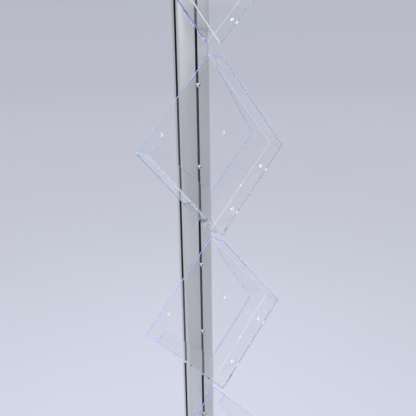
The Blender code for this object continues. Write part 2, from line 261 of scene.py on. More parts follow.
plate_levels = []
for step in range(BASE_EDGE_STEPS + 1):
    lean = math.radians(90.0) * step / BASE_EDGE_STEPS
    inset = BASE_EDGE_BREAK * (1.0 - math.sin(lean))
    plate_levels.append((BASE_EDGE_BREAK * (1.0 - math.cos(lean)), plate_outline(inset)))
plate_levels += [(plate_thick - height, outline) for height, outline in reversed(plate_levels)]
plate_holes = []
for node in base_screws:
    levels = countersunk_levels(BASE_SCREW_CLEARANCE, plate_thick)
    plate_holes.append([(height, circle(radius, middle(node).x)) for height, radius in levels])

powder = Finish("silver_powder_coat", roughness=0.42, metallic=0.35)
grit = powder.noise(2600.0, 2.0)
cloud = powder.noise(9.0, 4.0)
powder.feed("Base Color", powder.between(cloud * 0.6 + grit * 0.4, POWDER_SHADE, POWDER_SILVER))
powder.feed("Roughness", cloud * 0.12 + 0.38)
powder.feed("Normal", powder.bump(grit, 0.00006, 0.7))

plate_mesh = soften(layered_mesh("base_plate_visual", plate_levels, plate_holes), 25.0)
plate = show("base_plate_coated", plate_mesh, [powder], (0.0, 0.0, plate_low[2]))
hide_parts("base_plate")
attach(plate, "stand")

# ------------------------------------------------------------------ rubber feet
# Four moulded rubber pads stuck under the corners of the plate, each with a rounded rim and two
# shallow grip rings pressed into its underside.

FOOT_RIM = 0.0010
FOOT_RING_DEPTH = 0.0005
FOOT_RING_WIDTH = 0.0012
FOOT_RINGS = (0.45, 0.72)
FOOT_RIM_STEPS = 4
RUBBER_BLACK = (0.018, 0.018, 0.019, 1.0)
RUBBER_DUST = (0.060, 0.058, 0.055, 1.0)


def turned_mesh(name, profile, steps=ROUND):
    """Solid of revolution about Z from (radius, height) points that start and end on the axis."""
    shape = bmesh.new()
    rings = []
    for radius, height in profile:
        if radius == 0.0:
            rings.append([shape.verts.new((0.0, 0.0, height))] * steps)
        else:
            rings.append(ring_at(shape, circle(radius, steps=steps), height))
    for lower, upper in zip(rings, rings[1:]):
        for index in range(steps):
            corners = (lower[index - 1], lower[index], upper[index], upper[index - 1])
            shape.faces.new(list(dict.fromkeys(corners)))
    return finished(name, shape)


def foot_profile(radius, height):
    """Underside with two pressed rings, then the rounded rim, the side and the top."""
    points = [(0.0, 0.0)]
    for share in FOOT_RINGS:
        ring = radius * share
        points += [(ring - FOOT_RING_WIDTH, 0.0), (ring - FOOT_RING_WIDTH / 2.0, FOOT_RING_DEPTH)]
        points += [(ring + FOOT_RING_WIDTH / 2.0, FOOT_RING_DEPTH), (ring + FOOT_RING_WIDTH, 0.0)]
    for step in range(FOOT_RIM_STEPS + 1):
        lean = math.radians(90.0) * step / FOOT_RIM_STEPS
        inset = FOOT_RIM * (1.0 - math.sin(lean))
        points.append((radius - inset, FOOT_RIM * (1.0 - math.cos(lean))))
    return points + [(radius, height), (0.0, height)]


rubber = Finish("black_rubber", roughness=0.8)
dust = rubber.noise(320.0, 5.0)
rubber.feed("Base Color", rubber.between(dust * dust, RUBBER_BLACK, RUBBER_DUST))
rubber.feed("Roughness", dust * 0.2 + 0.7)
rubber.feed("Normal", rubber.bump(rubber.noise(4200.0), 0.00004, 0.6))

foot_low, foot_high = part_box("rubber_foot_front_left")
foot_radius = (foot_high[0] - foot_low[0]) / 2.0
foot_height = foot_high[2] - foot_low[2]
foot_mesh = soften(turned_mesh("rubber_foot", foot_profile(foot_radius, foot_height)))
for corner in ("front_left", "front_right", "rear_left", "rear_right"):
    node = "rubber_foot_" + corner
    centre = middle(node)
    foot_place = (centre.x, centre.y, foot_low[2])
    foot = show("grip_foot_" + corner, foot_mesh, [rubber], foot_place)
    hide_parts(node)
    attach(foot, "stand")

# ------------------------------------------------------------------ base screws
# Three M6 countersunk screws, zinc plated, driven up through the plate with a hexagon key into
# the round ports of the extrusion. Their heads lie flush under the plate.

BASE_SCREW_PITCH = 0.0010
BASE_SOCKET_FLATS = 0.0040
BASE_SOCKET_DEPTH = 0.0022
BASE_HEAD_BREAK = 0.0002
BASE_TIP_TAPER = 0.0006
THREAD_ROWS = 4
THREAD_DEPTH = 0.45
THREAD_START = 0.3
ZINC_BRIGHT = (0.68, 0.73, 0.76, 1.0)
ZINC_BLUE = (0.52, 0.60, 0.66, 1.0)


def threaded_mesh(name, profile, thread, pitch, steps=32):
    """Screw about Z: a turned profile that carries a helical thread between two heights."""
    shape = bmesh.new()
    low, high, radius = thread
    rows = int(round((high - low) / pitch * THREAD_ROWS))
    depth = pitch * THREAD_DEPTH
    rings = []
    for height in (low + (high - low) * row / rows for row in range(rows + 1)):
        run_out = min(1.0, (high - height) / pitch, (height - low) / pitch + THREAD_START)
        ridge = []
        for step in range(steps):
            phase = ((height - low) / pitch - step / steps) % 1.0
            cut = depth * abs(2.0 * phase - 1.0) * run_out
            ridge.append(circle(radius - cut, steps=steps)[step])
        rings.append(ring_at(shape, ridge, height))
    below = [point for point in profile if point[1] < low]
    above = [point for point in profile if point[1] > high]
    for edge, points in ((rings[0], reversed(below)), (rings[-1], above)):
        last = edge
        for radius_here, height in points:
            if radius_here == 0.0:
                tip = shape.verts.new((0.0, 0.0, height))
                for index in range(steps):
                    shape.faces.new((last[index - 1], last[index], tip))
                continue
            ring = ring_at(shape, circle(radius_here, steps=steps), height)
            bridge(shape, last, ring)
            last = ring
    for lower, upper in zip(rings, rings[1:]):
        bridge(shape, lower, upper)
    return finished(name, shape)


def helper_object(name, mesh):
    helper = bpy.data.objects.new(name, mesh)
    bpy.context.collection.objects.link(helper)
    return helper


def worked_mesh(carrier, helpers=()):
    """The mesh that an object's modifiers leave; the object and its helpers go."""
    graph = bpy.context.evaluated_depsgraph_get()
    mesh = bpy.data.meshes.new_from_object(carrier.evaluated_get(graph))
    for item in (carrier, *helpers):
        bpy.data.objects.remove(item, do_unlink=True)
    return mesh


def carved(name, body, cutters, operation="DIFFERENCE"):
    """The body with each cutter taken out of it, or joined to it by the UNION operation."""
    carrier = helper_object(name, body)
    helpers = [helper_object(name + "_cutter", cutter) for cutter in cutters]
    for helper in helpers:
        modifier = carrier.modifiers.new("cut", "BOOLEAN")
        modifier.operation = operation
        modifier.object = helper
    return worked_mesh(carrier, helpers)


def zinc_finish(name):
    """Bright zinc with a cool cast, fine tool marks and slightly worn highlights."""
    zinc = Finish(name, metallic=1.0)
    film = zinc.noise(900.0, 3.0)
    zinc.feed("Base Color", zinc.between(film, ZINC_BLUE, ZINC_BRIGHT))
    zinc.feed("Roughness", film * 0.16 + 0.12)
    zinc.feed("Normal", zinc.bump(zinc.noise(5200.0, 2.0), 0.00002, 0.5))
    return zinc


zinc = zinc_finish("zinc_plated_steel")
screw_low, screw_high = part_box(base_screws[0])
base_screw_length = screw_high[2] - screw_low[2]
base_radius = BASE_SCREW_DIAMETER / 2.0
base_profile = [
    (0.0, 0.0),
    (BASE_SCREW_HEAD / 2.0 - BASE_HEAD_BREAK, 0.0),
    (BASE_SCREW_HEAD / 2.0, BASE_HEAD_BREAK),
    (base_radius, head_cone),
    (base_radius - BASE_TIP_TAPER, base_screw_length),
    (0.0, base_screw_length),
]
thread_span = (plate_thick, base_screw_length - BASE_TIP_TAPER, base_radius)
base_screw_body = threaded_mesh("base_screw_body", base_profile, thread_span, BASE_SCREW_PITCH)
hexagon = circle(BASE_SOCKET_FLATS / math.sqrt(3.0), steps=6)
socket_levels = [(-BASE_SOCKET_DEPTH, hexagon), (BASE_SOCKET_DEPTH, hexagon)]
socket_cutter = layered_mesh("hexagon_socket", socket_levels)
base_screw_mesh = soften(carved("base_screw_turned", base_screw_body, [socket_cutter]))
for node in base_screws:
    centre = middle(node)
    screw_place = (centre.x, centre.y, screw_low[2])
    screw = show("threaded_" + node, base_screw_mesh, [zinc], screw_place)
    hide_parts(node)
    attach(screw, "stand")

# ------------------------------------------------------------------ post
# One aluminium extrusion, a flattened oval with a T-slot down the middle of each face, cut to
# length and clear anodised. The die leaves fine lines along it. Inside, the slots are painted
# near black: painted shade for the shadow deep in each slot.

POST_ROUNDNESS = 4.4
POST_WALL = 0.0020
POST_RIB = 0.0018
POST_ARC = 26
SLOT_WIDTH = 0.0060
SLOT_LIP = 0.0020
SLOT_EDGE = 0.00045
CHANNEL_WIDTH = 0.0106
CHANNEL_DEPTH = 0.0050
CHANNEL_ROUND = 0.0005
CHAMBER_ROUND = 0.0030
PORT_RADIUS = 0.0033
PORT_WALL = 0.0015
POST_SMOOTH_ANGLE = 28.0
SLOT_REACH = 1.02
ALUMINIUM_LIGHT = (0.84, 0.845, 0.82, 1.0)
ALUMINIUM_DEEP = (0.74, 0.745, 0.725, 1.0)
# Painted shade: near-black colours for the slots' insides, where only shadow falls.
SLOT_SHADE_DARK = (0.045, 0.046, 0.05, 1.0)
SLOT_SHADE_GREY = (0.10, 0.10, 0.11, 1.0)

post_low, post_high = (Vector(corner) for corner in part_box("post_extrusion"))
post_half = (post_high - post_low) / 2.0
slot_depth = SLOT_LIP + CHANNEL_DEPTH


def oval_point(angle, inset=0.0):
    """Point of the flattened oval: each half axis times a root of the cosine or the sine."""
    power = 2.0 / POST_ROUNDNESS
    across = math.copysign(abs(math.cos(angle)) ** power, math.cos(angle))
    through = math.copysign(abs(math.sin(angle)) ** power, math.sin(angle))
    return Vector((across * (post_half.x - inset), through * (post_half.y - inset)))


def slot_path(turn):
    """Corners of one T-slot, from one lip in and round to the other, with their radii."""
    reach = post_half.y if turn % 2 == 0 else post_half.x
    mouth = SLOT_WIDTH / 2.0
    channel = CHANNEL_WIDTH / 2.0
    half = [
        (mouth, -reach, SLOT_EDGE),
        (mouth, -reach + SLOT_LIP, SLOT_EDGE / 2.0),
        (channel, -reach + SLOT_LIP, CHANNEL_ROUND),
        (channel, -reach + slot_depth, CHANNEL_ROUND),
    ]
    path = [(-x, y, radius) for x, y, radius in half] + half[::-1]
    swing = Matrix.Rotation(math.radians(90.0) * turn, 2)
    return [(*(swing @ Vector((x, y))), radius) for x, y, radius in path]


def oval_stretch(turn):
    """The oval from one slot's lip round the corner to the next slot's lip."""
    start_half, end_half = post_half.xy if turn % 2 == 0 else post_half.yx
    mouth = SLOT_WIDTH / 2.0 + SLOT_EDGE * 3.0
    start = math.asin((mouth / start_half) ** (POST_ROUNDNESS / 2.0))
    end = math.asin((mouth / end_half) ** (POST_ROUNDNESS / 2.0))
    span = math.radians(90.0) - start - end
    first = math.radians(90.0) * (turn - 1) + start
    return [(*oval_point(first + span * step / POST_ARC), 0.0) for step in range(POST_ARC + 1)]


def post_outline():
    corners = []
    for turn in range(4):
        corners += slot_path(turn) + oval_stretch(turn)
    return rounded_outline(corners, 3)


def chamber_outline(side, face, inset=0.0):
    """One of the four hollow chambers beside the screw ports, shrunk by an inset."""
    inner = CHANNEL_WIDTH / 2.0 + POST_RIB
    outer = post_half.x - slot_depth - POST_RIB
    share = outer / post_half.x
    face_depth = post_half.y * (1.0 - share ** POST_ROUNDNESS) ** (1.0 / POST_ROUNDNESS)
    low = POST_RIB / 2.0 + inset
    high = face_depth - POST_WALL - inset
    port_x = (inner + outer) / 2.0
    boss = PORT_RADIUS + PORT_WALL + inset
    start = math.asin(low / boss)
    corners = []
    for step in range(FINE_ARC + 1):
        angle = math.pi - start - (math.pi - 2.0 * start) * step / FINE_ARC
        corners.append((port_x + boss * math.cos(angle), boss * math.sin(angle), 0.0))
    corners += [(outer - inset, low, 0.0), (outer - inset, high, CHAMBER_ROUND)]
    corners += [(inner + inset, high, 0.0), (inner + inset, low, 0.0)]
    return [Vector((side * p.x, face * p.y)) for p in rounded_outline(corners)]


chambers = [(side, face) for side in (-1, 1) for face in (-1, 1)]
post_length = post_half.z * 2.0
hollows = [chamber_outline(side, face) for side, face in chambers]
hollows += [circle(PORT_RADIUS, middle(node).x) for node in base_screws]
post_holes = [[(0.0, outline), (post_length, outline)] for outline in hollows]
post_levels = [(0.0, post_outline()), (post_length, post_outline())]
post_mesh = soften(layered_mesh("post_visual", post_levels, post_holes), POST_SMOOTH_ANGLE)

anodised = Finish("clear_anodised_aluminium", metallic=1.0, anisotropic=0.35)
die_lines = anodised.noise(1.0, 3.0, (1500.0, 1500.0, 1.3))
broad_lines = anodised.noise(1.0, 2.0, (160.0, 160.0, 0.6))
haze = anodised.noise(3.5, 4.0)
sheen = die_lines * 0.45 + broad_lines * 0.35 + haze * 0.2
anodised.feed("Base Color", anodised.between(sheen, ALUMINIUM_DEEP, ALUMINIUM_LIGHT))
anodised.feed("Roughness", die_lines * 0.10 + haze * 0.06 + 0.24)
anodised.feed("Normal", anodised.bump(die_lines + broad_lines, 0.00005, 0.35))

# Painted shade: the slot walls are the same anodised metal, coloured near black for the shadow
# deep in the slots.
slot_painted_shade = Finish("slot_inside_painted_shade", metallic=0.4)
scale = slot_painted_shade.noise(1.0, 3.0, (900.0, 900.0, 8.0))
slot_painted_shade.feed("Base Color", slot_painted_shade.between(scale, SLOT_SHADE_DARK, SLOT_SHADE_GREY))
slot_painted_shade.feed("Roughness", scale * 0.2 + 0.5)

def in_slot(across, inwards, reach):
    """Whether a place lies within a slot, by its distance from the slot's middle and the core."""
    deepest = reach - slot_depth * SLOT_REACH
    return across < CHANNEL_WIDTH / 2.0 + CHANNEL_ROUND and deepest < inwards < reach - SLOT_EDGE


# Faces deep in the slots take the painted shade.
for face in post_mesh.polygons:
    x, y = abs(face.center.x), abs(face.center.y)
    upright_face = abs(face.normal.z) < 0.5
    if upright_face and (in_slot(x, y, post_half.y) or in_slot(y, x, post_half.x)):
        face.material_index = 1

post = show("slotted_post", post_mesh, [anodised, slot_painted_shade], (0.0, 0.0, post_low.z))
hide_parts("post_extrusion")
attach(post, "stand")

# ------------------------------------------------------------------ post cap
# A grey moulded cap closes the top of the post. Four plugs under it grip the chambers' walls, and
# its top edge is rounded over.

CAP_EDGE = 0.0012
CAP_EDGE_STEPS = 5
CAP_LOWER_EDGE = 0.0003
CAP_PLUG_CLEARANCE = 0.0003
CAP_PLUG_ROOT = 0.0002
CAP_GREY = (0.30, 0.31, 0.33, 1.0)
CAP_SHADE = (0.24, 0.25, 0.27, 1.0)

cap_low, cap_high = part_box("post_top_cap")
seat = post_high.z + CAP_PLUG_CLEARANCE


def cap_outline(inset):
    steps = POST_ARC * 4
    return [oval_point(math.tau * (step + 0.5) / steps, inset) for step in range(steps)]


lid_height = cap_high[2] - seat
lid_levels = [(0.0, cap_outline(CAP_LOWER_EDGE)), (CAP_LOWER_EDGE, cap_outline(0.0))]
for step in range(CAP_EDGE_STEPS + 1):
    lean = math.radians(90.0) * step / CAP_EDGE_STEPS
    inset = CAP_EDGE * (1.0 - math.cos(lean))
    lid_levels.append((lid_height - CAP_EDGE * (1.0 - math.sin(lean)), cap_outline(inset)))
lid_mesh = layered_mesh("cap_lid", lid_levels)
plug_length = seat - cap_low[2]
plug_meshes = []
for side, face in chambers:
    plug = chamber_outline(side, face, CAP_PLUG_CLEARANCE)
    plug_meshes.append(layered_mesh("cap_plug", [(-plug_length, plug), (CAP_PLUG_ROOT, plug)]))


def assembled(mesh, parts):
    """Fill the mesh with all the parts."""
    shape = bmesh.new()
    for part in parts:
        shape.from_mesh(part)
    shape.to_mesh(mesh)
    shape.free()
    return mesh


cap_mesh = assembled(bpy.data.meshes.new("post_cap"), [lid_mesh] + plug_meshes)

moulded = Finish("grey_moulded_plastic", roughness=0.5)
skin = moulded.noise(2200.0, 3.0)
patches = moulded.noise(60.0) * 0.5 + skin * 0.5
moulded.feed("Base Color", moulded.between(patches, CAP_SHADE, CAP_GREY))
moulded.feed("Roughness", skin * 0.2 + 0.4)
moulded.feed("Normal", moulded.bump(skin, 0.00008, 0.6))
cap = show("moulded_post_cap", soften(cap_mesh), [moulded], (0.0, 0.0, seat))
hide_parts("post_top_cap")
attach(cap, "stand")

# ------------------------------------------------------------------ pockets
# Four open pockets moulded in clear acrylic, 2.5 mm thick, with a deep cut-out in the front so
# that a leaflet can be seen and lifted out. Every corner and rim is polished round. The rims are
# tinted a faint blue and carry a painted glow, the folds and back holes a painted white highlight
# and the drains and gate star a painted white glow, each standing in for light run through the
# sheet.

POCKET_WIDTH = 0.232
POCKET_HEIGHT = 0.253
POCKET_DEPTH = 0.0375
POCKET_WALL = 0.0025
POCKET_CORNER = 0.0060
POCKET_EDGE = 0.0009
POCKET_RIM_EDGE = 0.0005
POCKET_EDGE_STEPS = 3
ON_PLANE = 0.00005
SHARP_ANGLE = math.radians(40.0)
WALL_REACH = POCKET_WALL * 1.5
CUTOUT_REACH = POCKET_WALL * 1.7
FLOOR_REACH = POCKET_WALL * 1.1
RIM_REACH = POCKET_RIM_EDGE * 1.1
CUTOUT_ARM = 0.0230
CUTOUT_LEAN = 0.0195
CUTOUT_LIP = 0.0900
CUTOUT_ROUND = 0.0110
CUTOUT_TIP_ROUND = 0.0050
BACK_HOLE = 0.0060
RIM_HOLE_OFFSET = 0.0585
RIM_HOLE_DROP = 0.0194
MID_HOLE_OFFSET = 0.0425
MID_HOLE_DROP = 0.1330
BACK_HOLE_REACH = BACK_HOLE * 0.65
FLOOR_HOLE = 0.0055
FLOOR_HOLE_OFFSET = 0.0550
FLOOR_HOLE_REACH = FLOOR_HOLE * 0.6
HOLE_STEPS = 24
OVERCUT = 0.002
FACES_FRONT = 0.95
FACES_SIDE = 0.1
CLEAR, RIM, BORE, FOLD = range(4)
ACRYLIC_IOR = 1.49
CLEAR_TINT = (0.995, 0.992, 0.985, 1.0)
DEEP_TINT = (0.10, 0.22, 0.80, 1.0)
DEEP_DENSITY = 6.5
# Rims: a blue that is partly the acrylic's own edge tint, and a painted glow by emission.
RIM_PAINTED_GLOW = 0.06
RIM_PALE_TINT_AND_GLOW = (0.50, 0.60, 0.99, 1.0)
RIM_BLUE_TINT_AND_GLOW = (0.34, 0.46, 0.95, 1.0)
# Folds and back holes: a painted highlight, a white glow by emission.
FOLD_PAINTED_HIGHLIGHT = 0.30
FOLD_HIGHLIGHT_WHITE = (0.94, 0.97, 1.00, 1.0)
FOLD_HIGHLIGHT_PALE = (0.80, 0.87, 1.00, 1.0)
GATE_RAY = 0.0024
GATE_RAY_THICK = 0.0005
GATE_BALL = 0.0011
GATE_STEPS = 8
GATE_RAY_SIDES = 12
# Drains and gate star: a frosted white with a strong painted glow by emission.
BORE_PAINTED_GLOW = 0.9
BORE_FROST_AND_GLOW_WHITE = (0.95, 0.96, 1.00, 1.0)

pocket_lean = math.atan2(RIM_HOLE_OFFSET + MID_HOLE_OFFSET, MID_HOLE_DROP - RIM_HOLE_DROP)
half_width = POCKET_WIDTH / 2.0
half_height = POCKET_HEIGHT / 2.0


def upright(outline, near, far):
    """A prism from an outline across and up the pocket, from one depth to another."""
    mesh = layered_mesh("pocket_part", [(near, outline), (far, outline)])
    mesh.transform(Matrix.Rotation(math.radians(90.0), 4, "X"))
    return mesh


def pocket_outline(inset, rise):
    half = half_width - inset
    low = -half_height + inset
    high = half_height + rise
    corner = POCKET_CORNER - inset
    return rounded_outline([
        (-half, low, corner),
        (half, low, corner),
        (half, high, 0.0),
        (-half, high, 0.0),
    ])


def cutout_outline():
    """Opening in the front: wide at the rim, narrower at the lip, all corners rounded."""
    lip = -half_height + CUTOUT_LIP
    rim_half = half_width - CUTOUT_ARM
    lip_half = rim_half - CUTOUT_LEAN
    flare = CUTOUT_TIP_ROUND
    return rounded_outline([
        (-lip_half, lip, CUTOUT_ROUND),
        (lip_half, lip, CUTOUT_ROUND),
        (rim_half - flare / 4.0, half_height - flare, flare / 2.0),
        (rim_half + flare, half_height + OVERCUT, 0.0),
        (-rim_half - flare, half_height + OVERCUT, 0.0),
        (-rim_half + flare / 4.0, half_height - flare, flare / 2.0),
    ])


def back_holes():
    """Places of the four holes in the back, measured from the pocket's middle."""
    pairs = ((RIM_HOLE_OFFSET, RIM_HOLE_DROP), (MID_HOLE_OFFSET, MID_HOLE_DROP))
    return [
        Vector((side * offset, half_height - drop)) for offset, drop in pairs for side in (-1, 1)
    ]


def edge_weight(mesh, edge):
    """How far an edge is rounded: folds between walls fully, cut rims and holes only lightly."""
    first, last = (mesh.vertices[index].co for index in edge.vertices)
    centre = (first + last) / 2.0
    depths = (0.0, POCKET_WALL, POCKET_DEPTH - POCKET_WALL, POCKET_DEPTH)
    on_plane = any(abs(-point.y - depth) < ON_PLANE for point in (first, last) for depth in depths)
    near_side = abs(centre.x) > half_width - WALL_REACH or centre.z < -half_height + WALL_REACH
    on_rim = centre.z > half_height - ON_PLANE
    return 1.0 if on_plane and near_side and not on_rim else POCKET_RIM_EDGE / POCKET_EDGE


def surface_kind(centre, normal):
    """Which finish a face of the pocket takes, from where it lies and which way it looks."""
    on_rim = centre.z > half_height - RIM_REACH
    inside = abs(centre.x) < half_width - CUTOUT_REACH and centre.z > -half_height + CUTOUT_REACH
    cut_side = inside and abs(normal.y) < FACES_FRONT
    in_drain = (
        abs(abs(centre.x) - FLOOR_HOLE_OFFSET) < FLOOR_HOLE_REACH
        and abs(-centre.y - POCKET_DEPTH / 2.0) < FLOOR_HOLE_REACH
        and centre.z < -half_height + FLOOR_REACH
    )
    across = Vector((centre.x, centre.z))
    near_hole = any((across - hole).length < BACK_HOLE_REACH for hole in back_holes())
    on_fold = FACES_SIDE < abs(normal.y) < FACES_FRONT and not (on_rim or cut_side)
    # Drains take the frosted bore with its painted glow; the back holes and the folds take the
    # painted white highlight.
    if in_drain:
        return BORE
    if near_hole and -centre.y < POCKET_WALL or on_fold:
        return FOLD
    return RIM if on_rim or cut_side else CLEAR


def polished(mesh):
    """Round every sharp edge, keep the flat faces flat and give each face its finish."""
    mesh.shade_smooth()
    sharp = mesh.attributes.new("bevel_weight_edge", "FLOAT", "EDGE")
    shape = bmesh.new()
    shape.from_mesh(mesh)
    folded = [edge.calc_face_angle(0.0) > SHARP_ANGLE for edge in shape.edges]
    shape.free()
    for edge in mesh.edges:
        sharp.data[edge.index].value = edge_weight(mesh, edge) if folded[edge.index] else 0.0
    carrier = helper_object("pocket_polish", mesh)
    rounding = carrier.modifiers.new("rounding", "BEVEL")
    rounding.width = POCKET_EDGE
    rounding.segments = POCKET_EDGE_STEPS
    rounding.limit_method = "WEIGHT"
    rounding.use_clamp_overlap = False
    steady = carrier.modifiers.new("steady_normals", "WEIGHTED_NORMAL")
    steady.weight = 100
    steady.keep_sharp = False
    rounded = worked_mesh(carrier)
    for face in rounded.polygons:
        face.material_index = surface_kind(face.center, face.normal)
    return rounded


def gate_star():
    """The small star in the back's lower corner, where the acrylic ran into the mould."""
    ball = [(0.0, -GATE_BALL)]
    for step in range(1, GATE_STEPS):
        lean = math.radians(180.0) * step / GATE_STEPS
        ball.append((GATE_BALL * math.sin(lean), -GATE_BALL * math.cos(lean)))
    star = turned_mesh("gate_ball", ball + [(0.0, GATE_BALL)], GATE_STEPS * 2)
    spindle = [(0.0, -GATE_RAY), (GATE_RAY_THICK, 0.0), (0.0, GATE_RAY)]
    rays = []
    for turn in (Matrix.Rotation(math.radians(90.0), 4, axis) for axis in "XYZ"):
        ray = turned_mesh("gate_ray", spindle, GATE_RAY_SIDES)
        ray.transform(turn)
        rays.append(ray)
    return carved("gate_star", star, rays, "UNION")


pocket_block = upright(pocket_outline(0.0, 0.0), 0.0, POCKET_DEPTH)
cavity = upright(pocket_outline(POCKET_WALL, OVERCUT), POCKET_WALL, POCKET_DEPTH - POCKET_WALL)
cutout = upright(cutout_outline(), POCKET_DEPTH / 2.0, POCKET_DEPTH + OVERCUT)
cutters = [cavity, cutout]
for hole in back_holes():
    outline = circle(BACK_HOLE / 2.0, hole.x, hole.y, HOLE_STEPS)
    cutters.append(upright(outline, -OVERCUT, POCKET_DEPTH / 2.0))
for side in (-1, 1):
    drain = circle(FLOOR_HOLE / 2.0, side * FLOOR_HOLE_OFFSET, -POCKET_DEPTH / 2.0, HOLE_STEPS)
    drain_levels = [(-half_height - OVERCUT, drain), (-half_height + OVERCUT * 2.0, drain)]
    cutters.append(layered_mesh("drain", drain_levels))
pocket_mesh = polished(carved("pocket_shell", pocket_block, cutters))
star = gate_star()
star.transform(Matrix.Translation((0.0, -POCKET_WALL, -half_height + POCKET_WALL)))
# The gate star takes the frosted bore finish with its painted white glow.
for face in star.polygons:
    face.material_index = BORE
assembled(pocket_mesh, [pocket_mesh, star])

acrylic = Finish("clear_acrylic", base_color=CLEAR_TINT, transmission_weight=1.0, ior=ACRYLIC_IOR)
wipe = acrylic.noise(14.0, 4.0, (1.0, 1.0, 2.5))
acrylic.feed("Roughness", wipe * 0.03)
acrylic.feed("Normal", acrylic.bump(acrylic.noise(20.0, 1.0), 0.0003, 0.08))
absorbing = {"Color": DEEP_TINT, "Density": DEEP_DENSITY}
depth = acrylic.node("ShaderNodeVolumeAbsorption", inputs=absorbing)
acrylic.feed("Volume", depth, acrylic.nodes["Material Output"])


def edge_finish(name, low, high, scale, **plain):
    """Acrylic of a cut or rounded edge with a painted glow: emission in the edge's colours stands
    in for the light that runs inside the sheet.
    """
    edge = Finish(name, ior=ACRYLIC_IOR, **plain)
    shine = edge.noise(scale, 2.0)
    edge.feed("Base Color", edge.between(shine, low, high))
    edge.feed("Emission Color", edge.between(shine, low, high))
    return edge, shine


# Rims and cut sides: blue tint with a painted glow.
rim, glow = edge_finish(
    "acrylic_rim_painted_glow", RIM_BLUE_TINT_AND_GLOW, RIM_PALE_TINT_AND_GLOW, 40.0,
    transmission_weight=0.6, emission_strength=RIM_PAINTED_GLOW)
rim.feed("Roughness", glow * 0.2 + 0.15)
# Rounded folds: painted highlight, a white colour and glow standing in for the light they catch.
fold, gleam = edge_finish(
    "acrylic_fold_painted_highlight", FOLD_HIGHLIGHT_PALE, FOLD_HIGHLIGHT_WHITE, 25.0,
    transmission_weight=0.8, emission_strength=FOLD_PAINTED_HIGHLIGHT)
fold.feed("Roughness", gleam * 0.1 + 0.05)
# Drains and gate star: frosted white plus a painted glow.
bore, _ = edge_finish(
    "frosted_bore_painted_glow", RIM_PALE_TINT_AND_GLOW, BORE_FROST_AND_GLOW_WHITE, 3000.0,
    roughness=0.5, transmission_weight=0.5, emission_strength=BORE_PAINTED_GLOW)

pocket_numbers = (1, 2, 3, 4)
pocket_finishes = [acrylic, rim, bore, fold]
pocket_turn = (0.0, -pocket_lean, 0.0)
upper_hole = Matrix.Rotation(pocket_lean, 2) @ back_holes()[1]
for number in pocket_numbers:
    body = "pocket_{}".format(number)
    hang = middle(body + "_upper_screw")
    place = (hang.x - upper_hole.x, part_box(body + "_shell")[1][1], hang.z - upper_hole.y)
    pocket = show("clear_" + body, pocket_mesh, pocket_finishes, place, pocket_turn)
    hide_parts(body + "_shell")
    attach(pocket, body)

# ------------------------------------------------------------------ pocket screws and nuts
# Two M5 pan head screws hold each pocket. They pass through its back and the slot's mouth into
# square nuts that slide in the channel behind the lips, so the pocket can be moved up or down.

SCREW_RADIUS = 0.0025
SCREW_HEAD_RADIUS = 0.00475
SCREW_HEAD_HEIGHT = 0.0036
SCREW_PITCH = 0.0008
RECESS_SPAN = 0.0052
RECESS_WIDTH = 0.0013
RECESS_DEPTH = 0.0022
RECESS_FOOT = (0.27, 0.40)
RECESS_MOUTH = (0.62, 0.62)
HEAD_RIM = 0.0003
HEAD_CROWN = 0.42
HEAD_ROUNDNESS = 0.55
HEAD_STEPS = 9
HEAD_SMOOTH_ANGLE = 35.0
TIP_TAPER = 0.0005
NUT_CHAMFER = 0.0006
NUT_BORE_CHAMFER = 0.0004
NUT_THREAD_GAP = 0.0003

screw_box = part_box("pocket_1_upper_screw")
screw_length = screw_box[1][1] - screw_box[0][1] - SCREW_HEAD_HEIGHT
pan_profile = [
    (0.0, -screw_length),
    (SCREW_RADIUS - TIP_TAPER, -screw_length),
    (SCREW_RADIUS, 0.0),
    (SCREW_HEAD_RADIUS - HEAD_RIM, 0.0),
    (SCREW_HEAD_RADIUS, HEAD_RIM),
]
crown = SCREW_HEAD_HEIGHT * HEAD_CROWN
for step in range(HEAD_STEPS):
    lean = math.radians(90.0) * step / HEAD_STEPS
    dome = (SCREW_HEAD_HEIGHT - crown) * math.sin(lean)
    pan_profile.append((SCREW_HEAD_RADIUS * math.cos(lean) ** HEAD_ROUNDNESS, crown + dome))
pan_profile.append((0.0, SCREW_HEAD_HEIGHT))
pan_span = (-screw_length + TIP_TAPER, -SCREW_PITCH, SCREW_RADIUS)
pan_body = threaded_mesh("pan_screw_body", pan_profile, pan_span, SCREW_PITCH)


def cross_outline(span_share, width_share):
    """Plus-shaped outline of the driver's recess, by shares of its span and width."""
    reach = RECESS_SPAN * span_share
    side = RECESS_WIDTH * width_share
    quarter = [(side, -reach), (side, -side), (reach, -side)]
    points = []
    for turn in range(4):
        swing = Matrix.Rotation(math.radians(90.0) * turn, 2)
        points += [swing @ Vector(point) for point in quarter]
    return points


recess = layered_mesh("cross_recess", [
    (SCREW_HEAD_HEIGHT - RECESS_DEPTH, cross_outline(*RECESS_FOOT)),
    (SCREW_HEAD_HEIGHT + OVERCUT, cross_outline(*RECESS_MOUTH)),
])
pan_mesh = soften(carved("pan_screw", pan_body, [recess]), HEAD_SMOOTH_ANGLE)

nut_low, nut_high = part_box("pocket_1_upper_nut")
nut_half = (nut_high[0] - nut_low[0]) / 2.0
nut_thick = nut_high[1] - nut_low[1]


def nut_outline(inset):
    half = nut_half - inset
    corner = NUT_CHAMFER
    return rounded_outline([
        (-half, -half, corner),
        (half, -half, corner),
        (half, half, corner),
        (-half, half, corner),
    ], 4)


def nut_bore(growth):
    return circle(SCREW_RADIUS + NUT_THREAD_GAP + growth, steps=32)


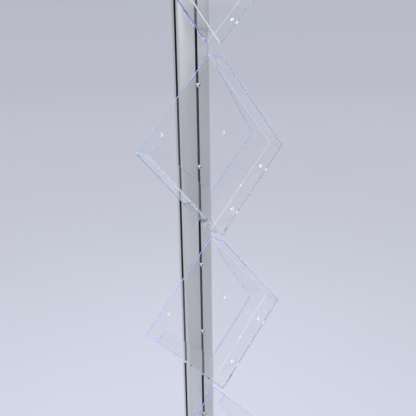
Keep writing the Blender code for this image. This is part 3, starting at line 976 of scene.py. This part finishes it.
nut_levels = [
    (0.0, nut_outline(NUT_CHAMFER / 2.0)),
    (NUT_CHAMFER / 2.0, nut_outline(0.0)),
    (nut_thick, nut_outline(0.0)),
]
bore_levels = [
    (0.0, nut_bore(NUT_BORE_CHAMFER)),
    (NUT_BORE_CHAMFER, nut_bore(0.0)),
    (nut_thick - NUT_BORE_CHAMFER, nut_bore(0.0)),
    (nut_thick, nut_bore(NUT_BORE_CHAMFER)),
]
nut_mesh = soften(layered_mesh("square_nut", nut_levels, [bore_levels]))

facing_front = (math.radians(90.0), 0.0, 0.0)
fastener_zinc = zinc_finish("bright_zinc_fastener")
for number in pocket_numbers:
    for level in ("upper", "lower"):
        stem = "pocket_{}_{}_".format(number, level)
        hang = middle(stem + "screw")
        seat_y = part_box(stem + "screw")[0][1] + SCREW_HEAD_HEIGHT
        screw_place = (hang.x, seat_y, hang.z)
        screw = show(stem + "pan_head_screw", pan_mesh, [fastener_zinc], screw_place, facing_front)
        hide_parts(stem + "screw")
        nut_place = (hang.x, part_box(stem + "nut")[1][1], hang.z)
        nut = show(stem + "square_nut", nut_mesh, [fastener_zinc], nut_place, facing_front)
        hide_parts(stem + "nut")
        for piece in (screw, nut):
            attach(piece, "pocket_{}".format(number))

# ------------------------------------------------------------------ studio
# A pale painted floor that runs to the horizon, darkened far out by painted shade, an even
# surround with one broad bright wall in front on the left, a soft box high on the same side and a
# small cool lamp over the rack.

FLOOR_RADIUS = 40.0
FLOOR_THICK = 0.02
FLOOR_PALE = (0.615, 0.625, 0.69, 1.0)
FLOOR_SHADE = (0.595, 0.605, 0.67, 1.0)
# Painted shade: the floor's colour far out, darker to stand in for light falling off with
# distance.
FLOOR_FAR_SHADE = (0.555, 0.57, 0.63, 1.0)
FLOOR_FADE = (5.0, 14.0)
SURROUND_HORIZON = (0.485, 0.505, 0.58, 1.0)
SURROUND_LOW = (0.43, 0.45, 0.52, 1.0)
SURROUND_HIGH = (0.55, 0.55, 0.58, 1.0)
SURROUND_STOPS = [
    (0.0, SURROUND_HORIZON),
    (0.505, SURROUND_HORIZON),
    (0.53, SURROUND_LOW),
    (0.67, SURROUND_LOW),
    (0.80, SURROUND_HIGH),
]
WALL_LIGHT = (1.15, 1.16, 1.20, 1.0)
WALL_TOWARDS = Vector((-1.13, -2.12, 0.87)).normalized()
WALL_FULL = math.cos(math.radians(60.0))
WALL_END = math.cos(math.radians(98.0))
WALL_FOOT = 0.04
POOL_COOL = (0.86, 0.93, 1.0)

floor_ring = circle(FLOOR_RADIUS, steps=64)
floor_mesh = layered_mesh("studio_floor", [(-FLOOR_THICK, floor_ring), (0.0, floor_ring)])
floor_finish = Finish("studio_floor_paint", roughness=0.9)
floor_cloud = floor_finish.noise(1.5, 2.0)
floor_near = floor_finish.between(floor_cloud, FLOOR_SHADE, FLOOR_PALE)
spot = floor_finish.place()
away = floor_finish.node("ShaderNodeVectorMath", {"operation": "LENGTH"}, {0: spot}, 1)
# Painted shade: from 5 m to 14 m out the floor's colour darkens towards the far shade.
distance_shade = floor_finish.ease(away, *FLOOR_FADE)
floor_finish.feed("Base Color", floor_finish.between(distance_shade, floor_near, FLOOR_FAR_SHADE))
floor = show("studio_floor", floor_mesh, [floor_finish])

world = bpy.data.worlds.new("studio_surround")
bpy.context.scene.world = world
surround = Shading(world, "Background")
towards = surround.node("ShaderNodeTexCoord", output="Generated")
climb = surround.node("ShaderNodeSeparateXYZ", inputs={0: towards}, output=2)
sky = surround.node("ShaderNodeValToRGB", {"stops": SURROUND_STOPS}, {0: climb * 0.5 + 0.5})
dot_product = {"operation": "DOT_PRODUCT"}
facing = surround.node("ShaderNodeVectorMath", dot_product, {0: towards, 1: WALL_TOWARDS}, 1)
wall = surround.ease(facing, WALL_END, WALL_FULL) * surround.ease(climb, 0.0, WALL_FOOT)
surround.feed("Color", surround.between(wall, sky, WALL_LIGHT))


def lamp(name, place, target, mirrored, **settings):
    """A soft square lamp turned to a target; unmirrored, it shows in no gloss and no glass."""
    light = bpy.data.lights.new(name, "AREA")
    for label, value in settings.items():
        setattr(light, label, value)
    holder = bpy.data.objects.new(name, light)
    bpy.context.collection.objects.link(holder)
    holder.location = place
    holder.rotation_euler = (Vector(target) - Vector(place)).to_track_quat("-Z", "Y").to_euler()
    holder.visible_camera = False
    holder.visible_glossy = mirrored
    holder.visible_transmission = mirrored


lamp("key_box", (-1.0, -2.3, 3.3), (0.0, 0.0, 1.1), True, energy=5.0, size=0.9)
lamp("pool_light", (0.3, 0.4, 2.1), (0.2, 0.8, 0.0), False, energy=13.0, size=0.5, color=POOL_COOL)

# ------------------------------------------------------------------ camera
# The camera stands at eye height, in front and to the left, and looks down at the second pocket.
# It is placed from the middle of that pocket's back.

CAMERA_STAND = Vector((-0.6887, -0.7909, 0.2412))
CAMERA_AIM = Vector((0.0221, 0.0, -0.1213))
CAMERA_LENS = 49.4
CAMERA_SENSOR = 36.0
CAMERA_ROLL = math.radians(0.84)
CLEAR_BOUNCES = 160

second_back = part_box("pocket_2_shell")[1][1]
hang = middle("pocket_2_upper_screw")
anchor = Vector((0.0, second_back, hang.z - upper_hole.y))
lens = bpy.data.cameras.new("eye")
lens.lens = CAMERA_LENS
lens.sensor_width = CAMERA_SENSOR
camera = bpy.data.objects.new("eye", lens)
bpy.context.collection.objects.link(camera)
camera.location = anchor + CAMERA_STAND
gaze = (CAMERA_AIM - CAMERA_STAND).to_track_quat("-Z", "Y")
camera.rotation_mode = "QUATERNION"
camera.rotation_quaternion = gaze @ Matrix.Rotation(-CAMERA_ROLL, 3, "Z").to_quaternion()
bpy.context.scene.camera = camera
bpy.context.scene.view_settings.view_transform = "Standard"
# Light runs a long way inside the clear walls before it leaves by an edge.
tracing = bpy.context.scene.cycles
tracing.max_bounces = CLEAR_BOUNCES
tracing.glossy_bounces = CLEAR_BOUNCES
tracing.transmission_bounces = CLEAR_BOUNCES
